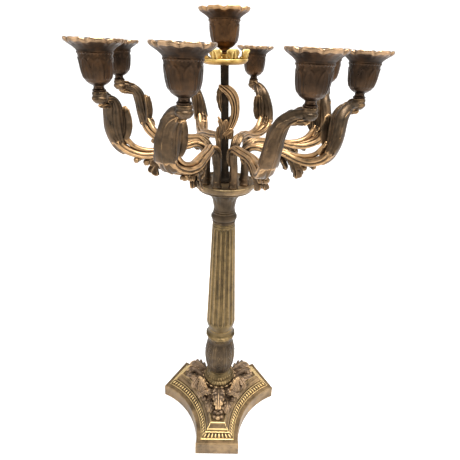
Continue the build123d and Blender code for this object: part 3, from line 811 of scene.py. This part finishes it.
def make_cup(name, move, body, node, material=CUP_BRASS):
    """A cup drawn with its rim at height 0 and then moved into place. Its rim is painted lighter, partly as
    wear and partly as painted highlight, the band under its flare is darkened with painted shade, and its
    foot is rubbed bright.
    """
    outline = moulding(CUP_OUTLINE, 0.5, 0.35)
    net = lathe(outline, 288, cup_relief, ruffle)
    r, z = outline[:, :1], outline[:, 1:2]
    # The rim is painted lighter, partly as wear and partly as painted highlight on the lit lip.
    rim = smooth((r - 21) / 4) * smooth((z + 3.6) / 3)
    # Painted shade in the band just under the flare.
    shade_under_flare = smooth((r - 16.3) / 0.5) * smooth(z + 9.0) * smooth((1.4 - z) / 1.6) * (1 - rim)
    casting = Casting()
    casting.grid(move(net), 0.8 * rim - 0.5 * shade_under_flare + 0.25 * (r < 7) * (z < -41))
    casting.piece(name, material, body, [node], "cup_brass")


def make_centre_cup():
    stem_length = np.linalg.norm(MOUNTS["socket_centre"] - np.array([0, 0, HUB_TOP]))
    rim = np.array([0, 0, HUB_TOP + stem_length + SOCKET_TO_RIM - CENTRE_CUP_DROP])
    make_cup("centre_cup_casting", lambda v: leaned(v * CENTRE_CUP_SHAPE + rim), "stand", "centre_cup",
             CENTRE_CUP_BRASS)


# ------------------------------------------------------------------ arms


PATTERN_POST, PATTERN_CUP = np.array([26.83, -3.06, 0]), np.array([150.0, 0, 0])
SCROLL = [(26.83, -3.06, 0.2, 10.0, 10.0), (26.83, -3.06, 12, 9.4, 9.4), (26.8, -3.1, 25, 9.6, 9.4),
          (26.0, -4.2, 36, 10.6, 9.6), (28.4, -6.0, 46, 11.4, 9.8), (36, -8.2, 51.8, 12, 9.6),
          (52.7, -7.6, 51.2, 13, 9.4), (73, -7.6, 49.6, 14.5, 9.4), (92, -10.8, 44.6, 17.0, 9.8),
          (110.4, -18.8, 45.2, 18.6, 10.0), (126.8, -25.6, 55.0, 20, 11.0), (134.0, -26.2, 72, 18, 11.6),
          (135.2, -23.0, 88, 15, 12.0), (136.8, -17.4, 101, 13.5, 11.6), (142, -10.2, 108, 12, 9.8),
          (148.4, -2.8, 110.4, 10.6, 8.0), (152, 1.4, 110.8, 8.6, 6.4)]
WEB = [(126.0, -21.0, 58.0, 7, 7), (128.4, -19.4, 66.0, 9, 11), (129.8, -18.0, 76.0, 10, 13),
       (130.2, -16.0, 89.0, 10, 13), (130.8, -13.4, 99.6, 10, 11), (134.6, -10.0, 106.0, 9, 8),
       (142.0, -5.6, 107.8, 7, 6)]
STRAND = [(124.5, -20, 70, 4, 4), (120.4, -19.4, 62.5, 7, 6.5), (113.5, -17.6, 54.6, 7.5, 6),
          (104, -14.8, 50.4, 7.5, 5), (92, -11, 49.0, 7, 4.6), (78, -8.8, 50.6, 6, 4), (66, -7.8, 52.2, 4, 3)]
CUFF_START = 0.685
BACK_STEPS = 200


def scroll_grooves(share, phi):
    """How far the scroll's skin sinks: two grooves along its inner face, one along each flank, fine lines
    and a shallow pair on its back, and from the cuff on a thicker, veined skin."""
    top, back = smooth(np.sin(phi) * 2.4), smooth(-np.sin(phi) * 2.4)
    over = np.cos(phi)
    run = smooth((share - 0.14) / 0.05) * smooth((0.71 - share) / 0.04)
    low = smooth((share - 0.42) / 0.06) * smooth((0.70 - share) / 0.03)
    wander = 0.05 * np.sin(26 * share)
    inner = bump(over, 0.36 + wander, 0.14) + bump(over, -0.36 + wander, 0.14)
    flank = bump(np.sin(phi), 0.05, 0.28)
    lines = bump(over, 0.42, 0.16) + bump(over, -0.1, 0.16) + bump(over, -0.6, 0.16)
    ends = smooth((0.3 - share) / 0.1) * smooth((share - 0.14) / 0.05)
    ends = ends + smooth((share - 0.78) / 0.06) * smooth((0.97 - share) / 0.04)
    cuff = smooth((share - CUFF_START - 0.014 * np.abs(np.sin(2.5 * phi + 0.4))) / 0.008)
    cuff = cuff * smooth((0.94 - share) / 0.1)
    veins = 0.35 * np.cos(11 * phi + 6 * share) * cuff * smooth((0.88 - share) / 0.1) * (1 - 0.85 * back)
    sunk = run * (2.1 * top * inner + 1.5 * flank) + (0.4 * ends * lines + 1.6 * low * inner) * back
    return sunk - 1.1 * cuff + veins


def scroll_painted_light(net):
    """Painted light along the bare strands up to the cuff, brighter on their upper face and lower down the
    scroll; brighter too on the cuff's lip and the two ends.
    """
    share = np.linspace(0, 1, net.shape[0])[:, None]
    phi = np.linspace(0, TAU, net.shape[1], endpoint=False)[None, :]
    # Painted highlight on the upper face of the strands, painted shade on their back.
    lit = smooth(np.sin(phi) * 1.2 + 1.3 + 0.55 * smooth((share - 0.48) / 0.08))
    lit = lit * smooth((share - 0.2) / 0.08) * smooth((0.705 - share) / 0.015)
    ends = smooth((share - 0.86) / 0.06) + 0.6 * smooth((0.16 - share) / 0.06) * smooth((share - 0.02) / 0.04)
    lip = bump(share, 0.7, 0.006)
    return 0.55 * lit + 0.2 * ends + 0.5 * lip - 0.14


def add_scroll(casting):
    """The scroll with the foot of its post, the boss under its cup, and the web and strand beside it."""
    net = strap(SCROLL, 260, 112, scroll_grooves)
    casting.grid(net, scroll_painted_light(net))
    foot = moulding([(0.5, 0.1), (6.2, 0.1), (6.6, 1.6), (5.6, 3.2), (4.9, 5.4, 1), (4.9, 9), (0.5, 9)], 0.6)
    casting.grid(lathe(foot, 48) + PATTERN_POST)
    boss = moulding([(0.5, 104.6), (4.6, 104.6), (6.8, 106.6, 0.6), (8.0, 108.6, 0.5), (8.0, 110.2, 0.5),
                     (6.8, 111.8), (7.4, 113.4), (7.0, 115.6), (0.5, 115.6)], 0.5)
    casting.grid(lathe(boss, 72) + PATTERN_CUP)
    casting.grid(strap(WEB, 80, 56, lambda share, phi: 0.4 * np.cos(9 * phi + 5 * share)), -0.25)
    strand = strap(STRAND, 90, 40, lambda share, phi: 0.9 * bump(np.cos(phi), 0, 0.3) * (np.sin(phi) > 0))
    casting.grid(strand, 0.45)


def add_shield(casting):
    """The long leaf that lies on the back of the scroll, from near its top down past the cuff."""
    c = through(SCROLL, BACK_STEPS + 1)
    along = unit(np.gradient(c[:, :3], axis=0))
    back = c[:, :3] - np.cross(along, sideways(along)) * (c[:, 4:5] / 2 + 0.7)
    widths = [(0.94, 3.4), (0.90, 6.0), (0.86, 8.0), (0.82, 8.8), (0.78, 9.6), (0.74, 10.6), (0.71, 10.4),
              (0.685, 9.0), (0.655, 6.4), (0.63, 2.6)]
    shield = [(*back[int(BACK_STEPS * share)], half) for share, half in widths]
    leaf(casting, shield, (0, -1, 0), lobes=4, cut=0.3, cupping=0.34, vein=1.0, thick=3.2, rib=0.8, fine=1.5,
         sweep=0.8, tint=-0.15, tip_tint=0.15)


def add_upper_leaves(casting):
    """The leaves of the upright part: a sheath inside, a lip at the cuff, one under and one over the top."""
    sheath = [(126.4, -17.6, 64, 5.0), (124.6, -16.6, 70, 6.4), (123.6, -15.7, 77, 7.0),
              (123.4, -15.0, 85, 6.6), (123.6, -14.6, 92, 5.4), (122.4, -14.2, 97.6, 3.8),
              (120.0, -14.2, 99, 1.6)]
    leaf(casting, sheath, (0, 1, 0), lobes=2, cut=0.1, cupping=0.9, vein=0.3, thick=2.8, rib=1.2, tint=-0.1,
         tip_tint=0.4)
    lip = [(129, -24.6, 68, 6), (125.8, -24.2, 62.6, 6.8), (123.8, -23.8, 58.6, 6.2),
           (122.4, -23.4, 56.2, 3.8), (121.8, -23.2, 55.2, 1.5)]
    leaf(casting, lip, (0, -1, 0), lobes=3, cut=0.3, cupping=0.7, vein=0.7, thick=2.2, rib=0.8, tint=0.2,
         tip_tint=0.4)
    under = [(138, -12.6, 101, 3.6), (142, -9, 103, 5.0), (146.5, -5, 104.4, 5.2), (151.2, 0.2, 105.2, 2.2)]
    leaf(casting, under, (0.75, 0.65, 0), lobes=3, cut=0.2, cupping=0.3, vein=0.5, thick=2.6, rib=0.9,
         tint=0.1, tip_tint=0.3)
    cap = [(134.4, -23, 92, 4.6), (138.6, -18.6, 101, 6.4), (142.6, -12.4, 108.4, 6.4),
           (147, -5.8, 112.4, 5.2), (150.6, -1, 113.2, 2.4)]
    leaf(casting, cap, (0.75, 0.65, 0), lobes=3, cut=0.2, cupping=0.5, vein=0.6, thick=2.6, rib=0.9, fine=0.7,
         tint=0.1)


def add_hanging_leaves(casting):
    """The growth under the scroll's level part: a pair of broad leaves, three fingers and their berries."""
    for shift, splay in ((-3.4, -1.2), (3.2, 1.2)):
        hand = [(80, -8.4 + shift, 49.5, 6.0), (85.6, -8.2 + shift, 43.0, 8.4),
                (90.6, -7.6 + shift, 35.4, 8.2), (93.6, -6.6 + shift + splay, 27.6, 5.6),
                (94.2, -5.6 + shift + 2 * splay, 21.4, 1.6)]
        leaf(casting, hand, (0.86, splay * 0.2, 0.5), lobes=3, cut=0.55, cupping=0.16 * splay, vein=0.8,
             thick=3.6, rib=0.9, sweep=0.9)
    fingers = [
        [(70, -7.6, 47, 4.2), (75.6, -7.6, 42, 4.8), (79.6, -7.4, 36.5, 4.2), (81.0, -7, 31.4, 3.0),
         (80.2, -6.8, 28.4, 1.6)],
        [(92, -10, 45, 4.6), (98.6, -11, 42, 5.6), (102.8, -11.8, 37.6, 5.0), (104.0, -12, 33.6, 3.6),
         (102.4, -12, 31.4, 2)],
        [(103, -14, 45, 4.4), (109.4, -14.6, 43.4, 5.2), (114.0, -14.8, 40.4, 4.4), (114.8, -14.6, 37.0, 3.2),
         (113.0, -14.4, 35.0, 1.8)],
    ]
    for finger in fingers:
        leaf(casting, finger, (0, -1, 0), lobes=2, cut=0.2, cupping=0.4, vein=0.7, thick=5.0, rib=1.1,
             fine=0.7)
    ball(casting, (91.0, -7.8, 40.0), (4.6, 6.6, 5.0))
    ball(casting, (102.2, -12.0, 35.4), (3.2, 4.2, 3.6))
    ball(casting, (113.0, -14.2, 38.6), (3.0, 4.2, 3.4), tint=0.15)


def add_knee_leaves(casting):
    """A narrow leaf up each side of the post, which follows it over into the scroll."""
    spine = [(24, -5, 2.4, 28, 2.4), (21.0, -5, 2.9, 36, 3.4), (21.8, -5.4, 3.2, 43.6, 3.8),
             (26, -6, 3.4, 49.8, 3.6), (32, -7, 3.4, 54.2, 2.8), (37, -7.6, 3.2, 56.2, 1.2)]
    for side in (-1, 1):
        rows = [(x, y + off * side, z, w) for x, y, off, z, w in spine]
        leaf(casting, rows, (0, -1, 0), lobes=2, cut=0.15, cupping=0.35, vein=0.5, thick=3.0, rib=0.7,
             fine=0.6, tip_tint=0.5)


def arm_pattern():
    """One arm in the frame of its own cup: out from the axis, sideways and up from the hub plate."""
    casting = Casting()
    add_scroll(casting)
    add_shield(casting)
    add_upper_leaves(casting)
    add_hanging_leaves(casting)
    add_knee_leaves(casting)
    return casting


def make_arms():
    pattern = arm_pattern()
    reach = PATTERN_CUP - PATTERN_POST
    for name in ARM_NAMES:
        post, socket = JOINTS[f"swing_{name}"], MOUNTS[f"socket_{name}"]
        way = socket - post
        turn = math.atan2(way[1], way[0]) - math.atan2(reach[1], reach[0])
        body = f"arm_assembly_{name}"

        def placed(v, post=post, turn=turn):
            return turned(v - PATTERN_POST, turn) + post

        pattern.moved(placed).piece(f"arm_{name}_casting", ARM_BRASS, body, [f"arm_{name}"], "arm_brass")
        rim = socket + np.array([0, 0, SOCKET_TO_RIM])
        make_cup(f"cup_{name}_casting", lambda v, rim=rim: v + rim, body, f"cup_{name}")


# ------------------------------------------------------------------ hidden hardware


def finish_hardware():
    """The rod, nut, washer, screws and studs keep their CAD shapes, in dull steel."""
    for node in frame["nodes"].values():
        if not node.hide_render and node.type == "MESH":
            node.data.materials.clear()
            node.data.materials.append(STEEL)


# ------------------------------------------------------------------ stage, light and camera


LIGHT_AIM = np.array([0, 0, 0.3])
CAMERA_PLACE = np.array([0.0, -0.477, 0.583])
CAMERA_YAW, CAMERA_PITCH, CAMERA_ROLL = math.radians(1.9), math.radians(26.1), math.radians(2.6)
SWEEP_START, SWEEP_RADIUS = 1.6, 1.2


def facing(right, up, back, place):
    """The world matrix of a light or camera from its three axes and its place."""
    return Matrix([*zip(right, up, back, place), (0, 0, 0, 1)])


def make_floor():
    """A pale sweep: flat under the object, curving up far behind it."""
    pale = Recipe("pale_floor")
    pale.feed(pale.inputs["Base Color"], (0.95, 0.95, 0.95, 1))
    pale.feed(pale.inputs["Roughness"], 0.9)
    path = [(-3.0, 0.0), (SWEEP_START, 0.0)]
    for a in np.linspace(0.05, math.pi / 2, 24):
        path.append((SWEEP_START + SWEEP_RADIUS * math.sin(a), SWEEP_RADIUS - SWEEP_RADIUS * math.cos(a)))
    path.append((SWEEP_START + SWEEP_RADIUS, 4.0))
    verts = [(x, y, z) for y, z in path for x in (-5.0, 5.0)]
    faces = [(2 * k, 2 * k + 1, 2 * k + 3, 2 * k + 2) for k in range(len(path) - 1)]
    mesh = bpy.data.meshes.new("floor")
    mesh.from_pydata(verts, [], faces)
    mesh.shade_smooth()
    mesh.materials.append(pale.material)
    floor = shown("floor", mesh)


def make_light(name, place, size, power, colour=(1, 1, 1)):
    light = bpy.data.lights.new(name, "AREA")
    light.shape = "RECTANGLE"
    light.size, light.size_y = size
    light.energy = power
    light.color = colour
    back = unit(np.array(place) - LIGHT_AIM)
    right = unit(np.cross((0.001, 0.001, 1.0), back))
    shown(name, light).matrix_world = facing(right, np.cross(back, right), back, place)


def make_camera():
    camera = bpy.data.cameras.new("camera")
    camera.sensor_width = 36.0
    camera.lens = 29.53
    camera.shift_x, camera.shift_y = -0.0105, 0.0026
    camera.clip_start = 0.01
    level = np.array([math.cos(CAMERA_YAW), -math.sin(CAMERA_YAW), 0.0])
    forward = np.array([math.sin(CAMERA_YAW), math.cos(CAMERA_YAW), 0.0])
    ahead = math.cos(CAMERA_PITCH) * forward - math.sin(CAMERA_PITCH) * np.array([0, 0, 1.0])
    over = np.cross(level, ahead)
    right = math.cos(CAMERA_ROLL) * level + math.sin(CAMERA_ROLL) * over
    up = -math.sin(CAMERA_ROLL) * level + math.cos(CAMERA_ROLL) * over
    eye = shown("camera", camera)
    eye.matrix_world = facing(right, up, -ahead, CAMERA_PLACE)
    bpy.context.scene.camera = eye


def make_world():
    world = bpy.data.worlds.new("studio")
    world.use_nodes = True
    sky = world.node_tree.nodes["Background"]
    sky.inputs["Color"].default_value = (1, 1, 1, 1)
    sky.inputs["Strength"].default_value = 0.85
    bpy.context.scene.world = world


# ------------------------------------------------------------------ the whole scene


make_base()
make_foliage()
make_socket_ring()
make_baluster()
make_lower_collar()
make_shaft()
make_upper_collar()
make_capital()
make_hub()
make_stem()
make_pan()
make_centre_cup()
make_arms()
finish_hardware()
make_floor()
make_light("overhead", (0.25, -0.45, 1.9), (0.8, 0.8), 70)
make_light("left_fill", (-1.6, -0.9, 1.0), (0.7, 1.0), 12)
make_light("right_fill", (1.6, -0.7, 1.0), (0.7, 1.0), 13, colour=(1.0, 0.95, 0.88))
make_camera()
make_world()
bpy.context.scene.view_settings.view_transform = "Standard"
